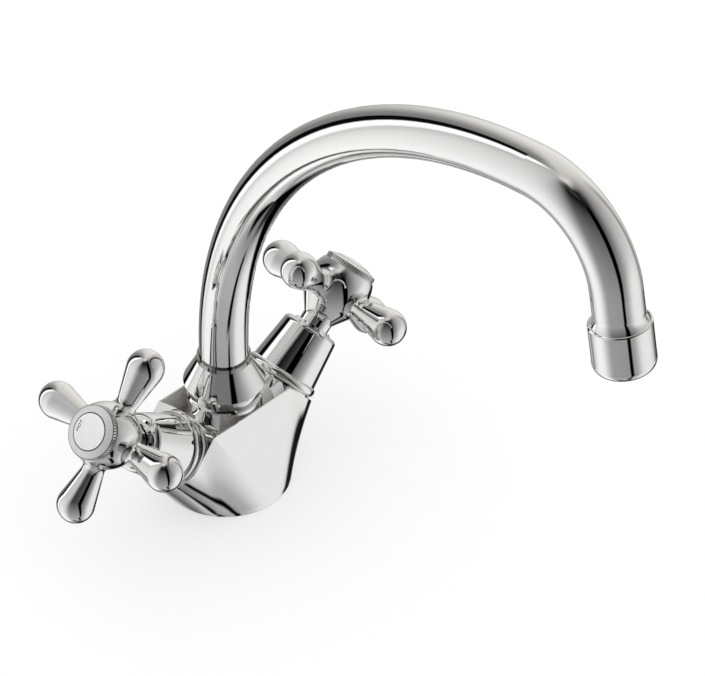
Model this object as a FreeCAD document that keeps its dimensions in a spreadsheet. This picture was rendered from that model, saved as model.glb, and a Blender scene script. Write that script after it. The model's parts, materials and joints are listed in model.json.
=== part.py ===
import FreeCAD, Part
import math
import os
import re

import Sketcher
from FreeCAD import Placement, Rotation, Vector

# A two-handle kitchen mixer tap with a swivelling tube spout.
# Millimetres. The origin is the centre of the base underside, +Z is up and
# the spout points along -Y at rest. Hot is on the -X side, cold on +X.
# The valve and handle pieces are drawn upright about their own axis, with
# heights measured from where the two tilted axes cross, and then tilted.

SIZES = {
    # cast body
    "base_radius": 24.0,
    "ridge_height": 38.2,
    "arm_radius": 14.5,
    "arm_face": 35.5,
    "arm_crown": 14.0,
    "axis_tilt": 50.0,
    "axis_height": 6.1,
    "shield_edge": 0.5,
    "shield_spread": 42.0,
    "rim_radius": 12.6,
    "rim_height": 0.5,
    "boss_radius": 13.8,
    "boss_height": 40.2,
    "spigot_radius": 12.0,
    "spigot_height": 46.4,
    "valve_bore": 9.0,
    "valve_floor": 15.0,
    "seat_bore": 3.5,
    "spout_bore": 10.5,
    "spout_bore_floor": 24.0,
    "chamber_radius": 8.2,
    "chamber_depth": 2.0,
    "inlet_offset": 9.0,
    "inlet_thread": 4.5,
    "inlet_depth": 10.5,
    "stud_offset": 12.0,
    "stud_thread": 3.35,
    "stud_depth": 13.0,
    # rings of rubber
    "base_ring_radius": 20.7,
    "base_ring_section": 0.95,
    "ring_play": 0.15,
    "fit_gap": 0.05,
    "joint_gap": 0.3,
    # spout
    "tube_radius": 9.0,
    "tube_wall": 1.2,
    "tube_foot": 39.0,
    "riser_top": 64.0,
    "arch_radius": 164.8,
    "arch_angle": 85.0,
    "crook_radius": 34.6,
    "crook_angle": 85.0,
    "outlet_run": 8.5,
    # spout seat
    "bush_foot": 27.4,
    "bush_bore": 7.0,
    "gland_height": 30.0,
    "gland_pitch": 4.4,
    "gland_section": 0.9,
    "split_ring_height": 1.5,
    "split_ring_depth": 0.5,
    "split_ring_slot": 2.4,
    "glide_height": 0.7,
    # spout nut
    "nut_radius": 15.0,
    "nut_foot": 12.9,
    "nut_belly": 46.4,
    "nut_neck": 9.9,
    "nut_shoulder": 56.4,
    "nut_top": 58.2,
    # outlet
    "ferrule_spigot": 6.0,
    "ferrule_bore": 6.4,
    "flare_radius": 10.2,
    "flare_height": 4.6,
    "flare_round": 0.45,
    "ferrule_length": 9.0,
    "aerator_radius": 11.0,
    "aerator_lap": 0.6,
    "aerator_length": 17.8,
    "aerator_bevel": 0.35,
    "aerator_taper": 3.4,
    "aerator_round": 0.55,
    "aerator_mouth": 9.4,
    "aerator_lip": 8.0,
    "lip_height": 0.8,
    "washer_height": 1.4,
    "cartridge_radius": 8.95,
    "cartridge_hole": 1.1,
    "cartridge_reach": 5.6,
    "cartridge_count": 12.0,
    "screen_height": 0.6,
    # bonnet
    "flange_height": 3.6,
    "flange_bulge": 1.05,
    "bonnet_foot": 12.85,
    "bonnet_shoulder": 10.6,
    "bonnet_height": 22.4,
    "bonnet_round": 2.0,
    "bonnet_roof": 1.8,
    "bonnet_skirt": 11.0,
    "bonnet_thread": 8.6,
    "bonnet_hole": 6.3,
    "bevel_foot": 7.7,
    "bevel_top": 6.9,
    "bevel_height": 0.9,
    # valve
    "hex_flats": 18.0,
    "hex_height": 4.0,
    "collar_height": 3.4,
    "gland_radius": 5.8,
    "gland_top": 48.0,
    "cage_radius": 7.7,
    "cage_wall": 1.2,
    "window_width": 3.4,
    "window_count": 4.0,
    "thread_foot": 28.0,
    "spindle_radius": 4.05,
    "disc_height": 2.4,
    "port_radius": 1.7,
    "port_reach": 2.6,
    "seat_height": 3.3,
    "seat_hole": 4.4,
    "carrier_height": 2.0,
    "lug_thickness": 1.6,
    "seal_height": 34.0,
    "seal_section": 0.65,
    "stem_seal_height": 30.0,
    "stem_seal_section": 0.55,
    "clip_height": 0.9,
    "clip_depth": 0.5,
    "clip_radius": 5.4,
    "clip_slot": 3.0,
    "spline_length": 9.0,
    "spline_depth": 0.5,
    "spline_count": 20.0,
    # handle
    "neck_radius": 5.9,
    "neck_lap": 1.6,
    "skirt_height": 4.5,
    "skirt_radius": 9.1,
    "hub_drop": 6.6,
    "hub_rise": 10.0,
    "hub_radius": 10.4,
    "hub_bulge": 2.5,
    "hub_web": 6.4,
    "cap_bore": 8.2,
    "cap_depth": 6.0,
    "spoke_height": 73.4,
    "spoke_reach": 27.7,
    "ball_radius": 7.0,
    "root_reach": 9.0,
    "root_radius": 3.12,
    "root_round": 2.8,
    "spoke_count": 4.0,
    "screw_radius": 2.0,
    "screw_length": 15.0,
    "screw_head": 3.6,
    "screw_head_height": 2.4,
    "screw_socket": 1.5,
    # index cap
    "cap_radius": 10.0,
    "cap_side": 2.0,
    "cap_dome": 2.2,
    "cap_wall": 1.4,
    "cap_floor": 1.0,
    "knurl_foot": 0.6,
    "knurl_depth": 0.25,
    "knurl_width": 0.35,
    "knurl_count": 60.0,
    "index_radius": 6.85,
    "index_height": 1.0,
}

SIDES = {"hot": -1, "cold": 1}

doc = FreeCAD.newDocument("mixer_tap")
sheet = doc.addObject("Spreadsheet::Sheet", "Sizes")
for row, (alias, size) in enumerate(SIZES.items(), start=1):
    sheet.set(f"A{row}", alias)
    sheet.set(f"B{row}", str(size))
    sheet.setAlias(f"B{row}", alias)
doc.recompute()


def cell(text):
    """Turn the words of a formula into references to the sheet's cells."""
    return re.sub(r"[a-z_]+", lambda word: f"Sizes.{word[0]}" if word[0] in SIZES else word[0], str(text))


def value(text):
    """Work out a formula with the sheet's present sizes."""
    result = sheet.evalExpression(cell(text))
    return float(getattr(result, "Value", result))


def bind(thing, prop, text):
    """Tie one property of an object to a formula."""
    thing.setExpression(prop, cell(text))


def origin_plane(body, role):
    """Find one of a body's own origin planes or axes."""
    return next(part for part in body.Origin.OriginFeatures if part.Role == role)


def new_body(label):
    """Start a piece that is built up feature by feature."""
    body = doc.addObject("PartDesign::Body", label)
    body.Label = label
    return body


def new_sketch(body, name, role, shift=("0", "0", "0"), turn="0"):
    """Lay a sketch on a body's plane, shifted and then turned about Y."""
    sketch = body.newObject("Sketcher::SketchObject", name)
    sketch.AttachmentSupport = (origin_plane(body, role), [""])
    sketch.MapMode = "FlatFace"
    angle = value(turn)
    hinge = Vector(0, math.copysign(1, angle), 0)
    corner = Vector(*(value(part) for part in shift))
    sketch.AttachmentOffset = Placement(corner, Rotation(hinge, abs(angle)))
    for axis, part in zip("xyz", shift):
        bind(sketch, f"AttachmentOffset.Base.{axis}", part)
    if angle:
        bind(sketch, "AttachmentOffset.Rotation.Angle", f"abs({turn})")
    return sketch


def pin_point(sketch, edge, end, across, up):
    """Hold one end of an edge at its formulas, measured from the origin."""
    for kind, formula, axis in (("DistanceX", across, -2), ("DistanceY", up, -1)):
        size = value(formula)
        if abs(size) < 1e-9:
            sketch.addConstraint(Sketcher.Constraint("PointOnObject", edge, end, axis))
            continue
        index = sketch.addConstraint(Sketcher.Constraint(kind, -1, 1, edge, end, size))
        bind(sketch, f"Constraints[{index}]", formula)


def draw_outline(sketch, points, closed=True):
    """Draw lines and arcs through (across, up) formulas.

    A third entry makes the stretch that ends there an arc: the formula of its
    middle point's distance from the chord, positive to the left of travel.
    """
    corners = [Vector(value(point[0]), value(point[1]), 0) for point in points]
    ends = list(range(len(points)))[0 if closed else 1:]
    first = {}
    last = {}
    for index in ends:
        point = points[index]
        start, end = corners[index - 1], corners[index]
        if len(point) == 2:
            edge = sketch.addGeometry(Part.LineSegment(start, end))
            first[index], last[index] = (edge, 1), (edge, 2)
            continue
        chord = end - start
        rise = value(point[2])
        middle = (start + end) * 0.5 + Vector(-chord.y, chord.x, 0).normalize() * rise
        edge = sketch.addGeometry(Part.Arc(start, middle, end))
        first[index], last[index] = ((edge, 2), (edge, 1)) if rise > 0 else ((edge, 1), (edge, 2))
        before = points[index - 1]
        half = f"(hypot({point[0]} - ({before[0]}); {point[1]} - ({before[1]})) / 2)"
        radius = f"(({half} ^ 2 + ({point[2]}) ^ 2) / (2 * abs({point[2]})))"
        entry = sketch.addConstraint(Sketcher.Constraint("Radius", edge, value(radius)))
        bind(sketch, f"Constraints[{entry}]", radius)
    for index in ends:
        following = (index + 1) % len(points)
        if following in first:
            sketch.addConstraint(Sketcher.Constraint("Coincident", *last[index], *first[following]))
        pin_point(sketch, *last[index], points[index][0], points[index][1])
    if not closed:
        pin_point(sketch, *first[ends[0]], points[0][0], points[0][1])


def draw_circle(sketch, radius, across="0", up="0"):
    """Draw a circle about a point of the sketch."""
    centre = Vector(value(across), value(up), 0)
    edge = sketch.addGeometry(Part.Circle(centre, Vector(0, 0, 1), value(radius)))
    pin_point(sketch, edge, 3, across, up)
    entry = sketch.addConstraint(Sketcher.Constraint("Radius", edge, value(radius)))
    bind(sketch, f"Constraints[{entry}]", radius)


def revolve(body, points, kind="PartDesign::Revolution"):
    """Turn or groove an outline of (radius, height) formulas about Z."""
    sketch = new_sketch(body, "outline", "XZ_Plane")
    draw_outline(sketch, points)
    turned = body.newObject(kind, "turning")
    turned.Profile = sketch
    turned.ReferenceAxis = (sketch, ["V_Axis"])
    turned.Angle = 360
    doc.recompute()
    return turned


def extrude(body, sketch, length, kind="PartDesign::Pad", reverse=False, middle=False):
    """Pad or pocket a sketch by a formula's length."""
    feature = body.newObject(kind, kind.split("::")[1].lower())
    feature.Profile = sketch
    feature.Length = value(length)
    bind(feature, "Length", length)
    feature.Reversed = reverse
    feature.Midplane = middle
    doc.recompute()
    return feature


def bore(body, radius, depth, role="XY_Plane", shift=("0", "0", "0"), turn="0", reverse=False):
    """Cut a round hole whose mouth is centred on a shifted, turned plane."""
    sketch = new_sketch(body, "mouth", role, shift, turn)
    draw_circle(sketch, radius)
    return extrude(body, sketch, depth, "PartDesign::Pocket", reverse)


def pattern(body, feature, count):
    """Repeat a feature round the body's Z axis."""
    around = body.newObject("PartDesign::PolarPattern", "pattern")
    around.Originals = [feature]
    around.Axis = (origin_plane(body, "Z_Axis"), [""])
    around.Angle = 360
    around.Occurrences = int(value(count))
    bind(around, "Occurrences", count)
    body.Tip = around
    doc.recompute()
    return around


def round_rings(body, radius, places):
    """Round the circular edges that lie at (radius, height) formulas."""
    base = body.Tip
    names = []
    for ring, height in places:
        for index, edge in enumerate(base.Shape.Edges, start=1):
            curve = edge.Curve
            if not isinstance(curve, Part.Circle):
                continue
            offset = abs(curve.Radius - value(ring)) + abs(curve.Center.z - value(height))
            if offset < 0.01:
                names.append(f"Edge{index}")
    fillet = body.newObject("PartDesign::Fillet", "rounding")
    fillet.Base = (base, names)
    fillet.Radius = value(radius)
    bind(fillet, "Radius", radius)
    doc.recompute()
    return fillet


def stand_on_axis(thing, side, height="0"):
    """Tilt an upright piece onto the hot or cold handle axis."""
    hinge = Vector(0, SIDES[side], 0)
    thing.Placement = Placement(Vector(), Rotation(hinge, value("axis_tilt")))
    bind(thing, "Placement.Base.x", f"{SIDES[side]} * sin(axis_tilt) * ({height})")
    bind(thing, "Placement.Base.z", f"axis_height + cos(axis_tilt) * ({height})")
    bind(thing, "Placement.Rotation.Angle", "axis_tilt")


def rubber_ring(label, radius, section):
    """Make a plain rubber ring, centred on its own origin."""
    ring = doc.addObject("Part::Torus", label)
    ring.Label = label
    bind(ring, "Radius1", radius)
    bind(ring, "Radius2", section)
    return ring


def handle_axis(side):
    """Give the outward and the upward direction of one tilted axis."""
    tilt = math.radians(value("axis_tilt"))
    outward = Vector(SIDES[side] * math.sin(tilt), 0, math.cos(tilt))
    upward = Vector(-SIDES[side] * math.cos(tilt), 0, math.sin(tilt))
    return outward, upward


# CAST BODY
# One brass casting: a round foot that is drawn out into two tilted arms,
# with a flat shield in front and behind that ends in a sharp ridge.


def arm_corners(side):
    """Find the corners of one arm's end face, front ones first."""
    outward, upward = handle_axis(side)
    centre = Vector(0, 0, value("axis_height")) + outward * value("arm_face")
    climb = (value("ridge_height") - centre.z) / upward.z
    half = Vector(0, value("arm_radius"), 0)
    ridge = centre + upward * climb
    return centre, ridge - half, centre - half, centre + half, ridge + half


def casting_form():
    """Loft the foot into both arms and close the wedge between them."""
    foot = value("base_radius")
    front, rear = Vector(0, -foot, 0), Vector(0, foot, 0)
    spread = math.radians(value("shield_spread"))
    pieces = []
    ridges = {}
    for side, sign in SIDES.items():
        _, upward = handle_axis(side)
        centre, ridge_front, side_front, side_rear, ridge_rear = arm_corners(side)
        split_front = Vector(sign * foot * math.sin(spread), -foot * math.cos(spread), 0)
        split_rear = Vector(split_front.x, -split_front.y, 0)
        half_spread = spread / 2
        near_front = Vector(sign * foot * math.sin(half_spread), -foot * math.cos(half_spread), 0)
        near_rear = Vector(near_front.x, -near_front.y, 0)
        low = Part.Wire([
            Part.LineSegment(rear, front).toShape(),
            Part.Arc(front, near_front, split_front).toShape(),
            Part.Arc(split_front, Vector(sign * foot, 0, 0), split_rear).toShape(),
            Part.Arc(split_rear, near_rear, rear).toShape(),
        ])
        high = Part.Wire([
            Part.LineSegment(ridge_rear, ridge_front).toShape(),
            Part.LineSegment(ridge_front, side_front).toShape(),
            Part.Arc(side_front, centre - upward * value("arm_radius"), side_rear).toShape(),
            Part.LineSegment(side_rear, ridge_rear).toShape(),
        ])
        pieces.append(Part.makeLoft([low, high], True, True))
        ridges[side] = (ridge_front, ridge_rear)
    triangles = [
        Part.makePolygon([foot_point, ridges["hot"][end], ridges["cold"][end], foot_point])
        for end, foot_point in enumerate((front, rear))
    ]
    pieces.append(Part.makeLoft(triangles, True, True))
    return pieces[0].fuse(pieces[1:]).removeSplitter()


form = doc.addObject("Part::Feature", "casting_form")
form.Shape = casting_form()

body = new_body("body")
body.BaseFeature = form
doc.recompute()

# The valley between the shields falls from the arm ends to the middle.
slope = "cos(axis_tilt) / sin(axis_tilt)"
ridge_end = "((arm_face - (ridge_height - axis_height) * cos(axis_tilt)) / sin(axis_tilt))"
valley_floor = f"(ridge_height - {ridge_end} * {slope})"
valley_rise = f"(ridge_height - {valley_floor} + base_radius)"
valley = new_sketch(body, "valley", "XZ_Plane")
draw_outline(valley, [
    ("0", valley_floor),
    (f"{valley_rise} / ({slope})", f"{valley_floor} + {valley_rise}"),
    (f"-{valley_rise} / ({slope})", f"{valley_floor} + {valley_rise}"),
])
extrude(body, valley, "2 * (arm_radius - shield_edge)", "PartDesign::Pocket", middle=True)

# Each arm has a crowned top, and a raised rim that the bonnet stands on.
ridge_climb = "((ridge_height - axis_height - arm_face * cos(axis_tilt)) / sin(axis_tilt))"
for sign in SIDES.values():
    face = (f"{sign} * sin(axis_tilt) * arm_face", "0", "axis_height + cos(axis_tilt) * arm_face")
    turn = f"{sign} * axis_tilt"
    crown = new_sketch(body, "crown", "XY_Plane", face, turn)
    draw_outline(crown, [
        (f"{-sign} * {ridge_climb}", "-arm_radius"),
        (f"{-sign} * {ridge_climb}", "arm_radius", f"{sign} * (arm_crown - {ridge_climb})"),
    ])
    extrude(body, crown, "arm_face - axis_height", reverse=True)
    rim = new_sketch(body, "rim", "XY_Plane", face, turn)
    draw_circle(rim, "rim_radius")
    extrude(body, rim, "rim_height")

# The boss and its threaded spigot carry the spout and its nut.
for radius, top in (("boss_radius", "boss_height"), ("spigot_radius", "spigot_height")):
    column = new_sketch(body, "column", "XY_Plane", ("0", "0", "valve_floor"))
    draw_circle(column, radius)
    extrude(body, column, f"{top} - valve_floor")

# Water comes up the two inlets, through the seats into the valve bores, and
# both bores break into the chamber under the spout.
rim_top = "(arm_face + rim_height)"
for sign in SIDES.values():
    mouth = (f"{sign} * sin(axis_tilt) * {rim_top}", "0", f"axis_height + cos(axis_tilt) * {rim_top}")
    turn = f"{sign} * axis_tilt"
    bore(body, "valve_bore", f"{rim_top} - valve_floor", shift=mouth, turn=turn)
    bore(body, "seat_bore", f"{rim_top} - inlet_offset / sin(axis_tilt)", shift=mouth, turn=turn)
    inlet = (f"{sign} * inlet_offset", "0", "0")
    bore(body, "inlet_thread", "inlet_depth", shift=inlet, reverse=True)
    bore(body, "seat_bore", f"axis_height + inlet_offset * {slope} + seat_bore", shift=inlet, reverse=True)
spigot_mouth = ("0", "0", "spigot_height")
bore(body, "spout_bore", "spigot_height - spout_bore_floor", shift=spigot_mouth)
bore(body, "chamber_radius", "spigot_height - spout_bore_floor + chamber_depth", shift=spigot_mouth)
bore(body, "stud_thread", "stud_depth", shift=("0", "stud_offset", "0"), reverse=True)

groove = new_sketch(body, "groove", "XY_Plane")
for sign in (-1, 1):
    draw_circle(groove, f"base_ring_radius + {sign} * (base_ring_section + ring_play)")
extrude(body, groove, "2 * base_ring_section", "PartDesign::Pocket", reverse=True)

base_seal = rubber_ring("base_seal", "base_ring_radius", "base_ring_section")
bind(base_seal, "Placement.Base.z", "base_ring_section")


# SPOUT
# A sleeve soldered to the tube's foot turns in the body on two rubber rings.
# A split ring in its groove stands on the spigot, and the nut keeps it down.


gland_radius_in_bore = "(spout_bore - fit_gap - gland_section)"
gland_floor = "(spout_bore - 2 * fit_gap - 2 * gland_section)"
split_foot = "(spigot_height + fit_gap)"
split_top = f"({split_foot} + split_ring_height)"
bush_top = f"({split_top} + glide_height)"

bush = new_body("spout_bush")
bush_side = "(spout_bore - fit_gap)"
bush_outline = [("bush_bore", "bush_foot"), (bush_side, "bush_foot")]
for turn in ("0", "1"):
    middle = f"gland_height + {turn} * gland_pitch"
    half = "(gland_section + ring_play)"
    bush_outline += [
        (bush_side, f"{middle} - {half}"),
        (gland_floor, f"{middle} - {half}"),
        (gland_floor, f"{middle} + {half}"),
        (bush_side, f"{middle} + {half}"),
    ]
split_floor = f"({bush_side} - split_ring_depth)"
bush_outline += [
    (bush_side, split_foot),
    (split_floor, split_foot),
    (split_floor, f"{split_top} + fit_gap"),
    (bush_side, f"{split_top} + fit_gap"),
    (bush_side, bush_top),
    ("tube_radius", bush_top),
    ("tube_radius", "tube_foot"),
    ("bush_bore", "tube_foot"),
]
revolve(bush, bush_outline)

for label, turn in (("lower_spout_seal", "0"), ("upper_spout_seal", "1")):
    seal = rubber_ring(label, gland_radius_in_bore, "gland_section")
    bind(seal, "Placement.Base.z", f"gland_height + {turn} * gland_pitch")

split_ring = new_body("split_ring")
split_rim = "(spigot_radius - ring_play)"
revolve(split_ring, [
    (f"{split_floor} + fit_gap", split_foot),
    (split_rim, split_foot),
    (split_rim, split_top),
    (f"{split_floor} + fit_gap", split_top),
])
slot = new_sketch(split_ring, "slot", "XY_Plane", ("0", "0", split_foot))
draw_outline(slot, [
    ("0", "-split_ring_slot / 2"),
    ("nut_radius", "-split_ring_slot / 2"),
    ("nut_radius", "split_ring_slot / 2"),
    ("0", "split_ring_slot / 2"),
])
extrude(split_ring, slot, "split_ring_height", "PartDesign::Pocket", reverse=True)

glide = new_body("glide_washer")
revolve(glide, [
    (f"{bush_side} + joint_gap", split_top),
    (split_rim, split_top),
    (split_rim, bush_top),
    (f"{bush_side} + joint_gap", bush_top),
])

nut = new_body("spout_nut")
nut_thread = "(spigot_radius + fit_gap)"
nut_ledge = f"({bush_top} + fit_gap)"
revolve(nut, [
    (nut_thread, "boss_height"),
    ("nut_foot", "boss_height"),
    ("nut_radius", "nut_belly"),
    ("nut_neck", "nut_shoulder"),
    ("nut_neck", "nut_top"),
    ("tube_radius + ring_play", "nut_top"),
    ("tube_radius + ring_play", nut_ledge),
    (nut_thread, nut_ledge),
])

# The tube rises, sweeps forward in a wide arch and drops in a tight crook.
full_turn = "(arch_angle + crook_angle)"
inner_arm = "(arch_radius - crook_radius)"
arch_end = ("-arch_radius + arch_radius * cos(arch_angle)", "riser_top + arch_radius * sin(arch_angle)")
crook_end = (
    f"-arch_radius + {inner_arm} * cos(arch_angle) + crook_radius * cos({full_turn})",
    f"riser_top + {inner_arm} * sin(arch_angle) + crook_radius * sin({full_turn})",
)
outlet = (
    f"({crook_end[0]} - outlet_run * sin({full_turn}))",
    f"({crook_end[1]} + outlet_run * cos({full_turn}))",
)
tube = new_body("spout_tube")
spine = new_sketch(tube, "spine", "YZ_Plane")
draw_outline(spine, [
    ("0", "tube_foot"),
    ("0", "riser_top"),
    (*arch_end, "-arch_radius * (1 - cos(arch_angle / 2))"),
    (*crook_end, "-crook_radius * (1 - cos(crook_angle / 2))"),
    outlet,
], closed=False)
section = new_sketch(tube, "section", "XY_Plane", ("0", "0", "tube_foot"))
draw_circle(section, "tube_radius")
draw_circle(section, "tube_radius - tube_wall")
pipe = tube.newObject("PartDesign::AdditivePipe", "pipe")
pipe.Profile = section
pipe.Spine = (spine, [])
doc.recompute()


# OUTLET
# A flared ferrule in the tube's end carries the aerator housing on its
# thread. These pieces are drawn upright, with heights along the flow.


def hang_on_outlet(thing):
    """Turn an upright piece over and set it on the end of the tube."""
    thing.Placement = Placement(Vector(), Rotation(Vector(1, 0, 0), value(full_turn)))
    bind(thing, "Placement.Base.y", outlet[0])
    bind(thing, "Placement.Base.z", outlet[1])
    bind(thing, "Placement.Rotation.Angle", full_turn)


housing_foot = "(flare_height - aerator_lap)"
housing_end = f"({housing_foot} + aerator_length)"
washer_end = "(ferrule_length + washer_height)"
screen_end = f"({washer_end} + screen_height)"
lip_start = f"({housing_end} - lip_height)"
thread_bore = "(flare_radius + fit_gap)"

ferrule = new_body("outlet_ferrule")
spigot = "(tube_radius - tube_wall - fit_gap)"
revolve(ferrule, [
    ("ferrule_bore", "-ferrule_spigot"),
    (spigot, "-ferrule_spigot"),
    (spigot, "0"),
    ("tube_radius", "0"),
    ("flare_radius", "flare_height", "flare_round"),
    ("flare_radius", "ferrule_length"),
    ("ferrule_bore", "ferrule_length"),
])

housing = new_body("aerator_housing")
revolve(housing, [
    (thread_bore, housing_foot),
    ("aerator_radius - aerator_bevel", housing_foot),
    ("aerator_radius", f"{housing_foot} + aerator_bevel"),
    ("aerator_radius", f"{housing_end} - aerator_taper"),
    ("aerator_mouth", housing_end, "-aerator_round"),
    ("aerator_lip", housing_end),
    ("aerator_lip", lip_start),
    ("cartridge_radius + fit_gap", lip_start),
    ("cartridge_radius + fit_gap", washer_end),
    (thread_bore, washer_end),
])

washer = new_body("aerator_washer")
washer_rim = f"({thread_bore} - fit_gap)"
revolve(washer, [
    ("ferrule_bore", "ferrule_length"),
    (washer_rim, "ferrule_length"),
    (washer_rim, washer_end),
    ("ferrule_bore", washer_end),
])

screen = new_body("aerator_screen")
disc = new_sketch(screen, "disc", "XY_Plane", ("0", "0", washer_end))
draw_circle(disc, "cartridge_radius")
extrude(screen, disc, "screen_height")

cartridge = new_body("aerator_cartridge")
plug = new_sketch(cartridge, "plug", "XY_Plane", ("0", "0", screen_end))
draw_circle(plug, "cartridge_radius")
extrude(cartridge, plug, f"{lip_start} - {screen_end}")
jet = new_sketch(cartridge, "jet", "XY_Plane", ("0", "0", screen_end))
draw_circle(jet, "cartridge_hole", "cartridge_reach", "0")
jet_hole = extrude(cartridge, jet, f"{lip_start} - {screen_end}", "PartDesign::Pocket", reverse=True)
pattern(cartridge, jet_hole, "cartridge_count")

for thing in (ferrule, housing, washer, screen, cartridge):
    hang_on_outlet(thing)


# VALVES
# Each bore holds a quarter-turn valve: a brass housing screwed into the arm,
# and inside it a spindle that turns one ceramic disc over another.

hex_top = f"({rim_top} + hex_height)"
collar_top = f"({hex_top} + collar_height)"
cage_foot = "(valve_floor + seat_height)"
cage_bore = "(cage_radius - cage_wall)"
lower_disc_top = f"({cage_foot} + disc_height)"
upper_disc_top = f"({lower_disc_top} + disc_height)"
carrier_top = f"({upper_disc_top} + carrier_height)"
cavity_top = f"({carrier_top} + fit_gap)"
stem_bore = "(spindle_radius + fit_gap)"
turning_radius = f"({cage_bore} - joint_gap)"
bonnet_top = f"({rim_top} + bonnet_height)"
bevel_peak = f"({bonnet_top} + bevel_height)"
neck_foot = f"({bevel_peak} - neck_lap)"
hub_foot = "(spoke_height - hub_drop)"
hub_top = "(spoke_height + hub_rise)"
recess_floor = f"({hub_top} - cap_depth)"
spline_top = f"({recess_floor} - hub_web)"
clip_foot = "(gland_top + fit_gap)"
clip_top = f"({clip_foot} + clip_height)"


def bar_sketch(body, height, start, end, width):
    """Sketch a bar that lies along X at a height, from start to end."""
    bar = new_sketch(body, "bar", "XY_Plane", ("0", "0", height))
    draw_outline(bar, [
        (start, f"-({width}) / 2"),
        (end, f"-({width}) / 2"),
        (end, f"({width}) / 2"),
        (start, f"({width}) / 2"),
    ])
    return bar


def hexagon(sketch, flats):
    """Draw a hexagon about the sketch's origin."""
    corners = [60 * corner for corner in range(6)]
    reach = f"({flats}) / sqrt(3)"
    draw_outline(sketch, [(f"{reach} * cos({turn})", f"{reach} * sin({turn})") for turn in corners])


def valve_housing(side):
    """Turn the housing, then add its hexagon and cut its side windows."""
    piece = new_body(f"{side}_valve_housing")
    thread = "(valve_bore - fit_gap)"
    groove_floor = f"({thread} - 2 * seal_section - fit_gap)"
    half = "(seal_section + ring_play)"
    collar = "(bonnet_thread - fit_gap)"
    revolve(piece, [
        (cage_bore, cage_foot),
        ("cage_radius", cage_foot),
        ("cage_radius", "thread_foot"),
        (thread, "thread_foot"),
        (thread, f"seal_height - {half}"),
        (groove_floor, f"seal_height - {half}"),
        (groove_floor, f"seal_height + {half}"),
        (thread, f"seal_height + {half}"),
        (thread, rim_top),
        (collar, rim_top),
        (collar, collar_top),
        ("gland_radius", collar_top),
        ("gland_radius", "gland_top"),
        (stem_bore, "gland_top"),
        (stem_bore, cavity_top),
        (cage_bore, cavity_top),
    ])
    ring = new_sketch(piece, "hexagon", "XY_Plane", ("0", "0", rim_top))
    hexagon(ring, "hex_flats")
    draw_circle(ring, "gland_radius")
    extrude(piece, ring, "hex_height")
    window = bar_sketch(piece, lower_disc_top, f"{cage_bore} - fit_gap", "valve_bore", "window_width")
    cut = extrude(piece, window, f"{upper_disc_top} - {lower_disc_top}", "PartDesign::Pocket", reverse=True)
    pattern(piece, cut, "window_count")
    return piece


def fixed_disc(side):
    """Lower ceramic disc: two round ports side by side."""
    piece = new_body(f"{side}_fixed_disc")
    blank = new_sketch(piece, "blank", "XY_Plane", ("0", "0", cage_foot))
    draw_circle(blank, f"{cage_bore} - fit_gap")
    for sign in (-1, 1):
        draw_circle(blank, "port_radius", f"{sign} * port_reach", "0")
    extrude(piece, blank, "disc_height")
    return piece


def moving_disc(side):
    """Upper ceramic disc: two slots that a quarter turn brings over the ports."""
    piece = new_body(f"{side}_moving_disc")
    blank = new_sketch(piece, "blank", "XY_Plane", ("0", "0", lower_disc_top))
    draw_circle(blank, turning_radius)
    extrude(piece, blank, "disc_height")
    slot_start = "port_reach - port_radius"
    for sign in (-1, 1):
        slot = new_sketch(piece, "slot", "XY_Plane", ("0", "0", lower_disc_top))
        draw_outline(slot, [
            ("-port_radius", f"{sign} * ({slot_start})"),
            ("port_radius", f"{sign} * ({slot_start})"),
            ("port_radius", f"{sign} * cage_radius"),
            ("-port_radius", f"{sign} * cage_radius"),
        ])
        extrude(piece, slot, "disc_height", "PartDesign::Pocket", reverse=True)
    return piece


def valve_spindle(side):
    """Turn the spindle, add the lugs that drive the disc and cut its splines."""
    piece = new_body(f"{side}_valve_spindle")
    groove_floor = "(spindle_radius - 2 * stem_seal_section)"
    half = "(stem_seal_section + ring_play)"
    clip_floor = "(spindle_radius - clip_depth)"
    hole = "(screw_radius + fit_gap)"
    hole_foot = f"({recess_floor} - screw_length - screw_radius)"
    revolve(piece, [
        ("0", upper_disc_top),
        (turning_radius, upper_disc_top),
        (turning_radius, carrier_top),
        ("spindle_radius", carrier_top),
        ("spindle_radius", f"stem_seal_height - {half}"),
        (groove_floor, f"stem_seal_height - {half}"),
        (groove_floor, f"stem_seal_height + {half}"),
        ("spindle_radius", f"stem_seal_height + {half}"),
        ("spindle_radius", clip_foot),
        (clip_floor, clip_foot),
        (clip_floor, f"{clip_top} + fit_gap"),
        ("spindle_radius", f"{clip_top} + fit_gap"),
        ("spindle_radius", spline_top),
        (hole, spline_top),
        (hole, hole_foot),
        ("0", f"{hole_foot} - screw_radius / 2"),
    ])
    for sign in (-1, 1):
        lug = new_sketch(piece, "lug", "XY_Plane", ("0", "0", upper_disc_top))
        width = "(port_radius - fit_gap)"
        lug_end = f"({turning_radius} - fit_gap)"
        draw_outline(lug, [
            (f"-{width}", f"{sign} * ({lug_end} - lug_thickness)"),
            (width, f"{sign} * ({lug_end} - lug_thickness)"),
            (width, f"{sign} * {lug_end}"),
            (f"-{width}", f"{sign} * {lug_end}"),
        ])
        extrude(piece, lug, "disc_height / 2", reverse=True)
    tooth = new_sketch(piece, "spline", "XY_Plane", ("0", "0", f"{spline_top} - spline_length"))
    draw_outline(tooth, [
        ("spindle_radius - spline_depth", "0"),
        ("spindle_radius + spline_depth", "-spline_depth"),
        ("spindle_radius + spline_depth", "spline_depth"),
    ])
    cut = extrude(piece, tooth, "spline_length", "PartDesign::Pocket", reverse=True)
    pattern(piece, cut, "spline_count")
    return piece


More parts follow.
